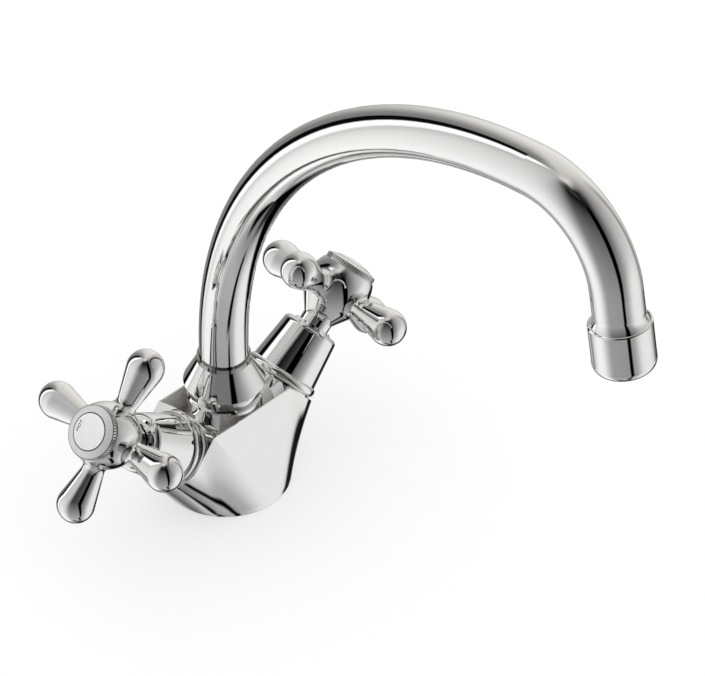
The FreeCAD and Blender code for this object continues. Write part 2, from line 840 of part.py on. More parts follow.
def seat_seal(side):
    """Rubber seat pressed between the bore's floor and the fixed disc."""
    piece = new_body(f"{side}_seat_seal")
    revolve(piece, [
        ("seat_hole", "valve_floor"),
        ("cage_radius", "valve_floor"),
        ("cage_radius", cage_foot),
        ("seat_hole", cage_foot),
    ])
    return piece


def spindle_clip(side):
    """Open spring ring in the spindle's groove, on top of the housing."""
    piece = new_body(f"{side}_spindle_clip")
    inner = "(spindle_radius - clip_depth + fit_gap)"
    revolve(piece, [
        (inner, clip_foot),
        ("clip_radius", clip_foot),
        ("clip_radius", clip_top),
        (inner, clip_top),
    ])
    gap = bar_sketch(piece, clip_foot, "0", "gland_radius", "clip_slot")
    extrude(piece, gap, "clip_height", "PartDesign::Pocket", reverse=True)
    return piece


def bonnet(side):
    """Chromed cover over the valve: a beaded flange, a slim cone, a bevel."""
    piece = new_body(f"{side}_bonnet")
    flange_top = f"{rim_top} + flange_height"
    revolve(piece, [
        ("bonnet_skirt", rim_top),
        ("bonnet_foot", rim_top),
        ("bonnet_foot", flange_top, "-flange_bulge"),
        ("bonnet_shoulder", bonnet_top),
        ("bevel_foot", bonnet_top),
        ("bevel_top", bevel_peak),
        ("bonnet_hole", bevel_peak),
        ("bonnet_hole", f"{bonnet_top} - bonnet_roof"),
        ("bonnet_thread", f"{bonnet_top} - bonnet_roof"),
        ("bonnet_thread", f"{hex_top} + joint_gap"),
        ("bonnet_skirt", f"{hex_top} + joint_gap"),
    ])
    round_rings(piece, "bonnet_round", [("bonnet_shoulder", bonnet_top)])
    return piece


# HANDLES
# A turned hub with a skirt and a slim neck carries four club-shaped spokes.
# A screw under the index cap draws it down on the spindle's splines.


def handle(side):
    """Turn the hub and one spoke, repeat the spoke and bore the hub."""
    piece = new_body(f"{side}_handle")
    revolve(piece, [
        ("0", neck_foot),
        ("neck_radius", neck_foot),
        ("neck_radius", f"{hub_foot} - skirt_height"),
        ("skirt_radius", hub_foot),
        ("hub_radius", hub_top, "-hub_bulge"),
        ("0", hub_top),
    ])
    profile = new_sketch(piece, "spoke", "XZ_Plane", ("0", "spoke_height", "0"))
    draw_spoke(profile)
    spoke = piece.newObject("PartDesign::Revolution", "spoke")
    spoke.Profile = profile
    spoke.ReferenceAxis = (profile, ["H_Axis"])
    spoke.Angle = 360
    doc.recompute()
    pattern(piece, spoke, "spoke_count")
    round_roots(piece)
    revolve(piece, [
        ("0", f"{neck_foot} - neck_lap"),
        (stem_bore, f"{neck_foot} - neck_lap"),
        (stem_bore, f"{spline_top} + joint_gap"),
        ("screw_radius + joint_gap", f"{spline_top} + joint_gap"),
        ("screw_radius + joint_gap", recess_floor),
        ("cap_bore", recess_floor),
        ("cap_bore", f"{hub_top} + cap_side"),
        ("0", f"{hub_top} + cap_side"),
    ], "PartDesign::Groove")
    return piece


def draw_spoke(sketch):
    """Draw half a spoke: a cone that widens into a tangent ball end."""
    reach, ball = value("spoke_reach"), value("ball_radius")
    across, up = value("root_reach"), value("root_radius")
    lean = math.asin(ball / math.hypot(reach - across, up)) - math.atan2(up, reach - across)
    toe = Vector(across, 0, 0)
    heel = Vector(across, up, 0)
    meet = Vector(reach - ball * math.sin(lean), ball * math.cos(lean), 0)
    over = Vector(reach + ball * math.cos(lean), ball * math.sin(lean), 0)
    tip = Vector(reach + ball, 0, 0)
    root = sketch.addGeometry(Part.LineSegment(toe, heel))
    shank = sketch.addGeometry(Part.LineSegment(heel, meet))
    end = sketch.addGeometry(Part.Arc(meet, over, tip))
    axis = sketch.addGeometry(Part.LineSegment(tip, toe))
    sketch.addConstraint(Sketcher.Constraint("Coincident", root, 2, shank, 1))
    sketch.addConstraint(Sketcher.Constraint("Tangent", shank, 2, end, 2))
    sketch.addConstraint(Sketcher.Constraint("Coincident", end, 1, axis, 1))
    sketch.addConstraint(Sketcher.Constraint("Coincident", axis, 2, root, 1))
    sketch.addConstraint(Sketcher.Constraint("PointOnObject", end, 3, -1))
    pin_point(sketch, root, 1, "root_reach", "0")
    pin_point(sketch, root, 2, "root_reach", "root_radius")
    pin_point(sketch, axis, 1, "spoke_reach + ball_radius", "0")
    entry = sketch.addConstraint(Sketcher.Constraint("Radius", end, ball))
    bind(sketch, f"Constraints[{entry}]", "ball_radius")


def round_roots(piece):
    """Round the edges where the spokes leave the bulged side of the hub."""
    base = piece.Tip
    level = value("spoke_height")
    room = value("hub_drop - fit_gap")
    reach = value("spoke_reach - ball_radius")
    names = [
        f"Edge{index}"
        for index, edge in enumerate(base.Shape.Edges, start=1)
        if not edge.Degenerated and all(
            math.hypot(point.x, point.y) < reach and abs(point.z - level) < room
            for point in edge.discretize(5)
        )
    ]
    fillet = piece.newObject("PartDesign::Fillet", "roots")
    fillet.Base = (base, names)
    fillet.Radius = value("root_round")
    bind(fillet, "Radius", "root_round")
    doc.recompute()


def handle_screw(side):
    """Socket-headed screw that holds the handle on its spindle."""
    piece = new_body(f"{side}_handle_screw")
    head_top = f"({recess_floor} + screw_head_height)"
    revolve(piece, [
        ("0", f"{recess_floor} - screw_length"),
        ("screw_radius", f"{recess_floor} - screw_length"),
        ("screw_radius", recess_floor),
        ("screw_head", recess_floor),
        ("screw_head", head_top),
        ("0", head_top),
    ])
    socket = new_sketch(piece, "socket", "XY_Plane", ("0", "0", head_top))
    hexagon(socket, "2 * screw_socket")
    extrude(piece, socket, "screw_head_height / 2", "PartDesign::Pocket")
    return piece


cap_face = f"({hub_top} + cap_side)"
dome_ball = "((cap_radius ^ 2 + cap_dome ^ 2) / (2 * cap_dome))"


def dome_height(radius):
    """Give the height of the cap's dome at a distance from its axis."""
    return f"({cap_face} + cap_dome - {dome_ball} + sqrt({dome_ball} ^ 2 - ({radius}) ^ 2))"


def dome_arc(outer, inner):
    """Give the rise of the dome's arc over the chord between two radii."""
    half = f"(hypot({outer} - ({inner}); {dome_height(outer)} - {dome_height(inner)}) / 2)"
    return f"-({dome_ball} - sqrt({dome_ball} ^ 2 - {half} ^ 2))"


def index_cap(side):
    """Knurled ring with a domed face that screws into the hub."""
    piece = new_body(f"{side}_index_cap")
    spigot_radius = "(cap_bore - fit_gap)"
    seat = "(index_radius + fit_gap)"
    floor = f"({dome_height('index_radius')} - index_height)"
    revolve(piece, [
        ("0", f"{floor} - cap_floor"),
        (f"{spigot_radius} - cap_wall", f"{floor} - cap_floor"),
        (f"{spigot_radius} - cap_wall", f"{recess_floor} + joint_gap"),
        (spigot_radius, f"{recess_floor} + joint_gap"),
        (spigot_radius, hub_top),
        ("cap_radius", hub_top),
        ("cap_radius", cap_face),
        (seat, dome_height(seat), dome_arc("cap_radius", seat)),
        (seat, floor),
        ("0", floor),
    ])
    notch = new_sketch(piece, "knurl", "XY_Plane", ("0", "0", f"{hub_top} + knurl_foot"))
    draw_outline(notch, [
        ("cap_radius - knurl_depth", "0"),
        ("cap_radius + knurl_depth", "-knurl_width"),
        ("cap_radius + knurl_depth", "knurl_width"),
    ])
    cut = extrude(piece, notch, "cap_side - knurl_foot", "PartDesign::Pocket", reverse=True)
    pattern(piece, cut, "knurl_count")
    return piece


def index_disc(side):
    """Plastic disc that carries the dome over the middle and shows hot or cold."""
    piece = new_body(f"{side}_index_disc")
    edge = dome_height("index_radius")
    revolve(piece, [
        ("0", f"{edge} - index_height"),
        ("index_radius", f"{edge} - index_height"),
        ("index_radius", edge),
        ("0", dome_height("0"), dome_arc("index_radius", "0")),
    ])
    return piece


AXIAL_PIECES = (
    valve_housing,
    fixed_disc,
    moving_disc,
    valve_spindle,
    seat_seal,
    spindle_clip,
    bonnet,
    handle,
    handle_screw,
    index_cap,
    index_disc,
)
for side in SIDES:
    for make in AXIAL_PIECES:
        stand_on_axis(make(side), side)
    housing_radius = "valve_bore - fit_gap - seal_section"
    housing_seal = rubber_ring(f"{side}_housing_seal", housing_radius, "seal_section")
    stand_on_axis(housing_seal, side, "seal_height")
    stem_radius = "spindle_radius - stem_seal_section"
    stem_seal = rubber_ring(f"{side}_stem_seal", stem_radius, "stem_seal_section")
    stand_on_axis(stem_seal, side, "stem_seal_height")


# CHECK AND WRITE

doc.recompute()
failed = [thing.Label for thing in doc.Objects if {"Invalid", "Error"} & set(thing.State)]
if failed:
    raise RuntimeError(f"not computed: {failed}")
pieces = [thing for thing in doc.Objects if thing.TypeId in ("PartDesign::Body", "Part::Torus")]
for piece in pieces:
    if piece.Shape.isNull() or not piece.Shape.isValid():
        raise RuntimeError(f"no sound shape: {piece.Label}")

os.makedirs("parts", exist_ok=True)
for piece in pieces:
    piece.Shape.exportStep(f"parts/{piece.Label}.step")
print(len(pieces), "pieces written")
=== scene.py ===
import json
import math

import bmesh
import bpy
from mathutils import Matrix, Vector


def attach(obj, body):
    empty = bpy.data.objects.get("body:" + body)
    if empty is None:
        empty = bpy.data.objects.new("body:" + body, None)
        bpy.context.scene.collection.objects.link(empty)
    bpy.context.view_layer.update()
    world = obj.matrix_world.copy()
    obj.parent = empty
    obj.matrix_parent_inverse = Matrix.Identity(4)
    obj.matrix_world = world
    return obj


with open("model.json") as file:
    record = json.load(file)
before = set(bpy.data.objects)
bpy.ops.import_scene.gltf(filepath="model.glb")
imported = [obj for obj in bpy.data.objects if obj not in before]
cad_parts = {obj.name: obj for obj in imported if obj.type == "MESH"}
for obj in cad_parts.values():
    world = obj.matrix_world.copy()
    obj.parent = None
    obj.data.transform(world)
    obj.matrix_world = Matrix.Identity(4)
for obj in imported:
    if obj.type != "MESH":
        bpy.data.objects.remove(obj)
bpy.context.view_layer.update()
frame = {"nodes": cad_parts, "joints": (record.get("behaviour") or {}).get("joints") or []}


# --- Cast body -------------------------------------------------------------
# One brass casting with a round foot, two raised arms for the valves and a
# boss for the spout, ground, polished by hand and chrome plated. The face
# that stands on the sink is left as bare turned brass.

class Bench:
    """Lays out the nodes of one finish or of one shared effect."""

    def __init__(self, tree):
        self.tree = tree

    def add(self, kind, **options):
        """Adds one node and sets its options."""
        node = self.tree.nodes.new("ShaderNode" + kind)
        for name, option in options.items():
            setattr(node, name, option)
        return node

    def put(self, socket, source):
        """Gives a socket a number, a colour or another node's result."""
        if isinstance(source, bpy.types.NodeSocket):
            self.tree.links.new(source, socket)
        elif socket.type == "RGBA":
            socket.default_value = (*source, 1.0)
        else:
            socket.default_value = source

    def feed(self, sockets, **sources):
        """Puts a source into each of several sockets, by their names."""
        for name, source in sources.items():
            self.put(sockets[name.replace("_", " ")], source)

    def place(self):
        """Gives where a point lies on the tap at rest, in metres."""
        return self.add("TexCoord").outputs["Object"]

    def reckon(self, operation, *sources, kind="Math", gives="Value"):
        """Works out one sum with numbers, or with places and directions."""
        node = self.add(kind, operation=operation)
        for socket, source in zip(node.inputs, sources):
            self.put(socket, source)
        return node.outputs[gives]

    def meet(self, *masks):
        """Gives the places that all the masks share."""
        shared = masks[0]
        for mask in masks[1:]:
            shared = self.reckon("MULTIPLY", shared, mask)
        return shared

    def ramp(self, given, start, end, shape="LINEAR"):
        """Goes from 0 to 1 as a value goes from its start to its end."""
        node = self.add("MapRange", interpolation_type=shape)
        self.feed(node.inputs, Value=given, From_Min=start, From_Max=end)
        return node.outputs["Result"]

    def blend(self, share, first, second, kind="RGBA"):
        """Mixes two colours, numbers or normals by a share."""
        node = self.add("Mix", data_type=kind)
        self.feed(node.inputs, Factor=share, A=first, B=second)
        return node.outputs["Result"]

    def speckle(self, scale, detail=2.0):
        """Gives noise that stays fixed to the piece."""
        noise = self.add("TexNoise")
        self.feed(noise.inputs, Vector=self.place(), Scale=scale, Detail=detail)
        return noise.outputs["Fac"]

    def split(self, given):
        """Gives the X, Y and Z of a place or direction."""
        node = self.add("SeparateXYZ")
        self.feed(node.inputs, Vector=given)
        return node.outputs

    def share(self, effect, **settings):
        """Places a shared effect, sets its sockets and gives its results."""
        node = self.add("Group", node_tree=effect.tree)
        self.feed(node.inputs, **settings)
        return node.outputs


class Effect(Bench):
    """A shared effect: a node group with named sockets."""

    def __init__(self, name, takes, gives):
        super().__init__(bpy.data.node_groups.new(name, "ShaderNodeTree"))
        for title, kind, start in takes:
            socket = self.tree.interface.new_socket(
                name=title, in_out="INPUT", socket_type="NodeSocket" + kind)
            socket.default_value = start
        for title, kind in gives:
            self.tree.interface.new_socket(
                name=title, in_out="OUTPUT", socket_type="NodeSocket" + kind)
        self.takes = self.tree.nodes.new("NodeGroupInput").outputs
        self.gives = self.tree.nodes.new("NodeGroupOutput").inputs


class Finish(Bench):
    """The material of one kind of surface."""

    def __init__(self, name, metallic):
        self.material = bpy.data.materials.new(name)
        self.material.use_nodes = True
        super().__init__(self.material.node_tree)
        self.surface = self.tree.nodes["Principled BSDF"].inputs
        self.feed(self.surface, Metallic=metallic)

    def coat(self, effect, **settings):
        """Gives the surface the colour and roughness of a shared effect."""
        self.skin = self.share(effect, **settings)
        self.feed(self.surface, Base_Color=self.skin["Colour"], Roughness=self.skin["Roughness"])

    def emboss(self, height, distance, strength, **under):
        """Turns a height into relief, over any other normal that lies under it."""
        bump = self.add("Bump")
        self.feed(bump.inputs, Height=height, Distance=distance, Strength=strength, **under)
        self.feed(self.surface, Normal=bump.outputs["Normal"])


def dress(finish, *names):
    """Gives a finish to CAD nodes."""
    for name in names:
        mesh = frame["nodes"][name].data
        mesh.materials.clear()
        mesh.materials.append(finish.material)


upright = (0.0, 0.0, 1.0)
skin_results = [("Colour", "Color"), ("Roughness", "Float"), ("Height", "Float")]

# how far a point lies along a straight line, and how far out from it
ruler = Effect("axis_ruler", [
    ("Axis", "Vector", upright),
    ("Through", "Vector", (0.0, 0.0, 0.0)),
], [("Along", "Float"), ("Radius", "Float")])
offset = ruler.reckon(
    "SUBTRACT", ruler.place(), ruler.takes["Through"], kind="VectorMath", gives="Vector")
square = ruler.reckon(
    "CROSS_PRODUCT", offset, ruler.takes["Axis"], kind="VectorMath", gives="Vector")
ruler.feed(
    ruler.gives,
    Along=ruler.reckon("DOT_PRODUCT", offset, ruler.takes["Axis"], kind="VectorMath"),
    Radius=ruler.reckon("LENGTH", square, kind="VectorMath"),
)

# plate that was polished by hand
haze_tone = 0.03
plate = Effect("polished_plate", [
    ("Plate", "Color", (0.9, 0.9, 0.9, 1.0)),
    ("Shine", "Float", 0.02),
    ("Wipe marks", "Float", 0.02),
    ("Polish wave", "Float", 1.0),
], skin_results)
haze = plate.speckle(scale=140.0, detail=4.0)
wave = plate.speckle(scale=55.0, detail=1.0)
tint = plate.add("VectorMath", operation="SCALE")
plate.feed(
    tint.inputs,
    Vector=plate.takes["Plate"],
    Scale=plate.reckon("MULTIPLY_ADD", haze, haze_tone, 1.0 - haze_tone),
)
plate.feed(
    plate.gives,
    Colour=tint.outputs["Vector"],
    Roughness=plate.reckon("MULTIPLY_ADD", haze, plate.takes["Wipe marks"], plate.takes["Shine"]),
    Height=plate.reckon("MULTIPLY", wave, plate.takes["Polish wave"]),
)

# metal with the fine rings of a lathe tool, and stains between them
ring_pitch = 0.00025
stain_depth = 1.4
stain_dullness = 0.16
turned = Effect("turned_metal", [
    ("Metal", "Color", (0.8, 0.6, 0.3, 1.0)),
    ("Tarnish", "Color", (0.5, 0.35, 0.15, 1.0)),
    ("Along", "Float", 0.0),
    ("Dullness", "Float", 0.25),
], skin_results)
rings = turned.add("TexNoise", noise_dimensions="1D")
turned.feed(rings.inputs, W=turned.reckon("DIVIDE", turned.takes["Along"], ring_pitch), Scale=1.0)
stain = turned.speckle(scale=90.0, detail=3.0)
worn = turned.reckon("MULTIPLY", turned.meet(stain, rings.outputs["Fac"]), stain_depth)
turned.feed(
    turned.gives,
    Colour=turned.blend(worn, turned.takes["Metal"], turned.takes["Tarnish"]),
    Roughness=turned.reckon("MULTIPLY_ADD", stain, stain_dullness, turned.takes["Dullness"]),
    Height=rings.outputs["Fac"],
)

chrome_tone = (0.94, 0.94, 0.935)
brass_tone = (0.78, 0.62, 0.32)
brass_tarnish = (0.48, 0.34, 0.14)
wave_relief, wave_strength = 0.0004, 0.1

cast = Finish("cast_chrome", metallic=1.0)
measure = cast.share(ruler, Axis=upright)
along, radius = measure["Along"], measure["Radius"]
place = cast.split(cast.place())
from_side, from_front = (cast.reckon("ABSOLUTE", place[name]) for name in "XY")
cast.coat(plate, Plate=chrome_tone, Shine=0.012, Wipe_marks=0.02, Polish_wave=0.12)
bare = cast.share(turned, Metal=brass_tone, Tarnish=brass_tarnish, Along=radius, Dullness=0.3)

# the inner walls of the two shields are left dull where the polishing wheel doesn't reach, and their
# ivory, less metallic plate is a painted reflection of the light the walls throw at each other
wall_place, wall_play = 0.0140, 0.0001
recess_radius, recess_floor = 0.0235, 0.022
sole_height = 0.00005
# painted reflection: the ivory tone and the loss of metal on the recess walls
recess_reflection_tone = (0.94, 0.93, 0.88)
reflection_metal_drop, recess_dullness = 0.8, 0.1
recess = cast.meet(
    cast.reckon("COMPARE", from_front, wall_place, wall_play),
    cast.reckon("LESS_THAN", radius, recess_radius),
    cast.reckon("GREATER_THAN", along, recess_floor),
)
sole = cast.reckon("LESS_THAN", along, sole_height)
# painted reflection: an ivory, half-diffuse plate in the recess
recess_reflection_colour = cast.blend(recess, cast.skin["Colour"], recess_reflection_tone)
dulled = cast.reckon("MULTIPLY_ADD", recess, recess_dullness, cast.skin["Roughness"])
cast.feed(
    cast.surface,
    Base_Color=cast.blend(sole, recess_reflection_colour, bare["Colour"]),
    Metallic=cast.reckon("MULTIPLY_ADD", recess, -reflection_metal_drop, 1.0),
    Roughness=cast.blend(sole, dulled, bare["Roughness"], kind="FLOAT"),
)

# the wheel rounds the faces off, but leaves the top, the arms and the foot crisp
wheel_round = 0.0030
top_edge, below_top = 0.033, 0.028
arm_slope, arm_edge, below_arm = 0.9, 0.050, 0.0465
foot_edge, above_foot = 0.0, 0.003
beside_arm = cast.reckon("MULTIPLY_ADD", from_side, arm_slope, along)
rounded = cast.add("Bevel", samples=8)
cast.feed(rounded.inputs, Radius=wheel_round)
clear = cast.meet(
    cast.ramp(along, top_edge, below_top),
    cast.ramp(beside_arm, arm_edge, below_arm),
    cast.ramp(along, foot_edge, above_foot),
)
crisp = cast.add("NewGeometry").outputs["Normal"]
cast.emboss(
    cast.skin["Height"], wave_relief, wave_strength,
    Normal=cast.blend(clear, crisp, rounded.outputs["Normal"], kind="VECTOR"),
)
dress(cast, "body")


# --- Rubber seals ----------------------------------------------------------
# Moulded nitrile rubber rings: one under the foot, two on the spout's sleeve,
# two in each valve and one under it, and the flat washer in the outlet.

# a moulded surface, with a faint cloud in its colour and a fine grain
grain_dullness = 0.12
moulded = Effect("moulded_skin", [
    ("Main tone", "Color", (0.5, 0.5, 0.5, 1.0)),
    ("Mottle tone", "Color", (0.4, 0.4, 0.4, 1.0)),
    ("Grain scale", "Float", 2500.0),
    ("Matt", "Float", 0.4),
], skin_results)
cloud = moulded.speckle(scale=160.0, detail=3.0)
grain = moulded.speckle(scale=moulded.takes["Grain scale"])
moulded.feed(
    moulded.gives,
    Colour=moulded.blend(cloud, moulded.takes["Main tone"], moulded.takes["Mottle tone"]),
    Roughness=moulded.reckon("MULTIPLY_ADD", grain, grain_dullness, moulded.takes["Matt"]),
    Height=grain,
)
grain_relief = 0.00005


def mould(name, main_tone, mottle_tone, matt, grain_scale, strength):
    """Makes the finish of a moulded piece."""
    finish = Finish(name, metallic=0.0)
    finish.coat(
        moulded, Main_tone=main_tone, Mottle_tone=mottle_tone, Grain_scale=grain_scale, Matt=matt)
    finish.emboss(finish.skin["Height"], grain_relief, strength)
    return finish


rubber = mould("seal_rubber", (0.035, 0.035, 0.036), (0.06, 0.058, 0.056),
               matt=0.55, grain_scale=3000.0, strength=0.4)
dress(rubber, "base_seal", "lower_spout_seal", "upper_spout_seal", "aerator_washer")
for side in ("hot", "cold"):
    dress(rubber, f"{side}_seat_seal", f"{side}_housing_seal", f"{side}_stem_seal")


# --- Valves ----------------------------------------------------------------
# Each valve is a turned brass housing and spindle with two lapped ceramic
# discs between them, kept together by an open clip of spring bronze.

ring_relief, ring_strength = 0.00004, 0.3
bronze_tone = (0.80, 0.58, 0.34)
bronze_tarnish = (0.45, 0.27, 0.13)
valve_lines = {
    joint["child"].split("_")[0]: {"Axis": Vector(joint["axis"]), "Through": Vector(joint["pos_m"])}
    for joint in frame["joints"] if joint["child"].endswith("_handle")
}


def turn(name, metal, tarnish, line, dullness):
    """Makes the finish of bare metal that was turned about a line."""
    finish = Finish(name, metallic=1.0)
    along = finish.share(ruler, **line)["Along"]
    finish.coat(turned, Metal=metal, Tarnish=tarnish, Dullness=dullness, Along=along)
    finish.emboss(finish.skin["Height"], ring_relief, ring_strength)
    return finish


ceramic = mould("lapped_ceramic", (0.90, 0.89, 0.86), (0.82, 0.81, 0.78),
                matt=0.12, grain_scale=6000.0, strength=0.1)
for side, line in valve_lines.items():
    brass = turn(f"{side}_turned_brass", brass_tone, brass_tarnish, line, dullness=0.22)
    dress(brass, f"{side}_valve_housing", f"{side}_valve_spindle")
    dress(ceramic, f"{side}_fixed_disc", f"{side}_moving_disc")
    spring = turn(f"{side}_spring_bronze", bronze_tone, bronze_tarnish, line, dullness=0.3)
    dress(spring, f"{side}_spindle_clip")


# --- Bonnets ---------------------------------------------------------------
# A turned brass cover screws over each valve. It has a round bead at its
# foot and a slim cone above it, buffed on the lathe and chrome plated.

def polish(name, **settings):
    """Makes a finish of chrome plate."""
    finish = Finish(name, metallic=1.0)
    finish.coat(plate, Plate=chrome_tone, **settings)
    finish.emboss(finish.skin["Height"], wave_relief, wave_strength)
    return finish


lathe_polish = {"Shine": 0.01, "Wipe_marks": 0.015, "Polish_wave": 0.15}
turned_chrome = polish("turned_chrome", **lathe_polish)
dress(turned_chrome, "hot_bonnet", "cold_bonnet")


# --- Spout seat and nut ----------------------------------------------------
# The spout turns on a brass sleeve. A split bronze ring and a white acetal
# washer carry it, and the chromed nut with its sharp waist keeps it down.

swivel_line = {"Axis": upright}
bush_brass = turn("bush_brass", brass_tone, brass_tarnish, swivel_line, dullness=0.22)
dress(bush_brass, "spout_bush")
ring_bronze = turn("ring_bronze", bronze_tone, bronze_tarnish, swivel_line, dullness=0.3)
dress(ring_bronze, "split_ring")
acetal = mould("bearing_acetal", (0.88, 0.88, 0.86), (0.80, 0.80, 0.77),
               matt=0.35, grain_scale=1800.0, strength=0.3)
dress(acetal, "glide_washer")

# painted shade: the nut's neck is darkened where it closes on the tube
neck_foot, neck_top = 0.0563, 0.0565
neck_shade_tone = (0.40, 0.40, 0.39)
nut = polish("nut_chrome", **lathe_polish)
neck = nut.ramp(nut.share(ruler, **swivel_line)["Along"], neck_foot, neck_top)
nut.feed(nut.surface, Base_Color=nut.blend(neck, nut.skin["Colour"], neck_shade_tone))
dress(nut, "spout_nut")


# --- Spout tube ------------------------------------------------------------
# Drawn brass tube, bent over a mandrel in one wide arch and one tight crook,
# then buffed along its length and chrome plated.

dress(polish("drawn_chrome", Shine=0.008, Wipe_marks=0.012, Polish_wave=0.1), "spout_tube")


# --- Outlet ----------------------------------------------------------------
# A flared ferrule is soldered into the tube's end. The chromed housing that
# screws on it holds a steel wire screen and a moulded cartridge with jets.

wire_pitch = 0.0007
wave_pitch = 0.314  # of Blender's wave texture, at a scale of 1
# painted shade: the screen's holes are dark with the shade seen through them
hole_shade_tone, wire_tone = (0.03, 0.03, 0.03), (0.60, 0.60, 0.61)
hole_dullness, wire_gloss = 0.6, 0.3

screen = Finish("wire_screen", metallic=1.0)
strands = []
for direction in "XY":
    wire = screen.add("TexWave", bands_direction=direction)
    screen.feed(wire.inputs, Vector=screen.place(), Scale=wave_pitch / wire_pitch)
    strands.append(wire.outputs["Fac"])
weave = screen.reckon("MAXIMUM", *strands)
screen.feed(
    screen.surface,
    Base_Color=screen.blend(weave, hole_shade_tone, wire_tone),
    Roughness=screen.reckon("MULTIPLY_ADD", weave, -wire_gloss, hole_dullness),
)
screen.emboss(weave, distance=0.0001, strength=0.8)

dress(turned_chrome, "outlet_ferrule", "aerator_housing")
dress(screen, "aerator_screen")
dress(acetal, "aerator_cartridge")


# --- Handles ---------------------------------------------------------------
# Each cross handle is cast in one piece, with four club-shaped spokes on a
# round hub, polished by hand and chrome plated. A steel screw fixes it.

steel_tone, steel_tarnish = (0.60, 0.60, 0.61), (0.36, 0.35, 0.34)
hand_polish = polish("handle_chrome", Shine=0.012, Wipe_marks=0.02, Polish_wave=0.2)
for side, line in valve_lines.items():
    dress(hand_polish, f"{side}_handle")
    steel = turn(f"{side}_screw_steel", steel_tone, steel_tarnish, line, dullness=0.28)
    dress(steel, f"{side}_handle_screw")


# --- Index caps ------------------------------------------------------------
# A turned ring screws into each hub. Its domed face is satin plated, its
# knurled side is bright, and painted shade darkens its notches and its seat.

cap_radius, knurl_depth = 0.0100, 0.00025
disc_radius, shadow_line = 0.00685, 0.00018
knurl_reach = (cap_radius - 1.6 * knurl_depth, cap_radius - 1.2 * knurl_depth)
notch_reach = (cap_radius - knurl_depth, cap_radius - 0.1 * knurl_depth)
seat_reach = (disc_radius + shadow_line, disc_radius + 1.5 * shadow_line)
satin_tone, rim_tone = (0.79, 0.79, 0.785), (0.6, 0.6, 0.59)
# painted shade: near black in the knurl notches and in a ring at the seat
notch_shade_tone, seat_shade_tone = (0.03, 0.03, 0.03), (0.05, 0.05, 0.05)
satin_metallic, rim_metallic = 0.5, 0.75
rim_gloss = 0.14

for side, line in valve_lines.items():
    cap = Finish(f"{side}_satin_cap", satin_metallic)
    radius = cap.share(ruler, **line)["Radius"]
    rim, tip, face = (cap.ramp(radius, *reach) for reach in (knurl_reach, notch_reach, seat_reach))
    cap.coat(plate, Plate=satin_tone, Shine=0.36, Wipe_marks=0.08, Polish_wave=0.2)
    # painted shade at the seat and in the notches
    satin = cap.blend(face, seat_shade_tone, cap.skin["Colour"])
    knurl = cap.blend(tip, notch_shade_tone, rim_tone)
    cap.feed(
        cap.surface,
        Base_Color=cap.blend(rim, satin, knurl),
        Metallic=cap.reckon("MULTIPLY_ADD", rim, rim_metallic - satin_metallic, satin_metallic),
        Roughness=cap.reckon("MULTIPLY_ADD", rim, -rim_gloss, cap.skin["Roughness"]),
    )
    cap.emboss(cap.skin["Height"], wave_relief, wave_strength)
    dress(cap, f"{side}_index_cap")


# --- Index discs -----------------------------------------------------------
# A white plastic disc carries the cap's dome over the middle. Its own edge
# falls into shadow, and hot or cold is printed on it in dark grey ink.

disc_edge = (disc_radius - 1.4 * shadow_line, disc_radius - 0.9 * shadow_line)
disc_tone, disc_mottle, edge_tone = (0.88, 0.88, 0.88), (0.84, 0.84, 0.84), (0.05, 0.05, 0.05)
dome_rise = 0.0022
dome_ball = (cap_radius ** 2 + dome_rise ** 2) / (2 * dome_rise)
letter_size, stroke_gain, letter_space = 0.0019, 0.00004, 1.1
mark_offset = 0.0046
ink_film = 0.00003
ink = mould("printed_ink", (0.06, 0.06, 0.062), (0.09, 0.09, 0.09),
            matt=0.4, grain_scale=5000.0, strength=0.2)


def print_mark(side, axis, through):
    """Lays a side's name on the dome, to read level as the user sees it."""
    letters = bpy.data.curves.new(f"{side}_mark", "FONT")
    letters.body = side.upper()
    letters.size, letters.offset = letter_size, stroke_gain
    letters.space_character = letter_space
    letters.align_x = letters.align_y = "CENTER"
    flat = bpy.data.objects.new(f"{side}_mark_flat", letters)
    mesh = bpy.data.meshes.new_from_object(flat)
    bpy.data.objects.remove(flat)

    up = Vector((0, 1, 0))
    level = up.cross(axis)
    disc = frame["nodes"][f"{side}_index_disc"].data
    peak = max((corner.co - through).dot(axis) for corner in disc.vertices)
    for corner in mesh.vertices:
        along, rise = corner.co.x, corner.co.y + mark_offset
        drop = dome_ball - math.sqrt(dome_ball ** 2 - along ** 2 - rise ** 2)
        corner.co = through + axis * (peak - drop + ink_film) + level * along + up * rise

    mesh.materials.clear()
    mesh.materials.append(ink.material)
    mark = bpy.data.objects.new(f"{side}_mark", mesh)
    bpy.context.scene.collection.objects.link(mark)
    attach(mark, f"{side}_handle")


for side, line in valve_lines.items():
    disc = mould(f"{side}_index_plastic", disc_tone, disc_mottle,
                 matt=0.25, grain_scale=4000.0, strength=0.1)
    edge = disc.ramp(disc.share(ruler, **line)["Radius"], *disc_edge)
    disc.feed(disc.surface, Base_Color=disc.blend(edge, disc.skin["Colour"], edge_tone))
    dress(disc, f"{side}_index_disc")
    print_mark(side, line["Axis"], line["Through"])


# --- Studio ----------------------------------------------------------------
# A tent of pale cloth that the camera can't see, lit from behind in panels
# and hung with black strips, gives the plate its bands. White light from all
# round lights the rest, and the tap stands on white paper.

black, white, ivory = (0.0, 0.0, 0.0), (1.0, 1.0, 1.0), (1.0, 0.985, 0.93)
half_turn = 180.0

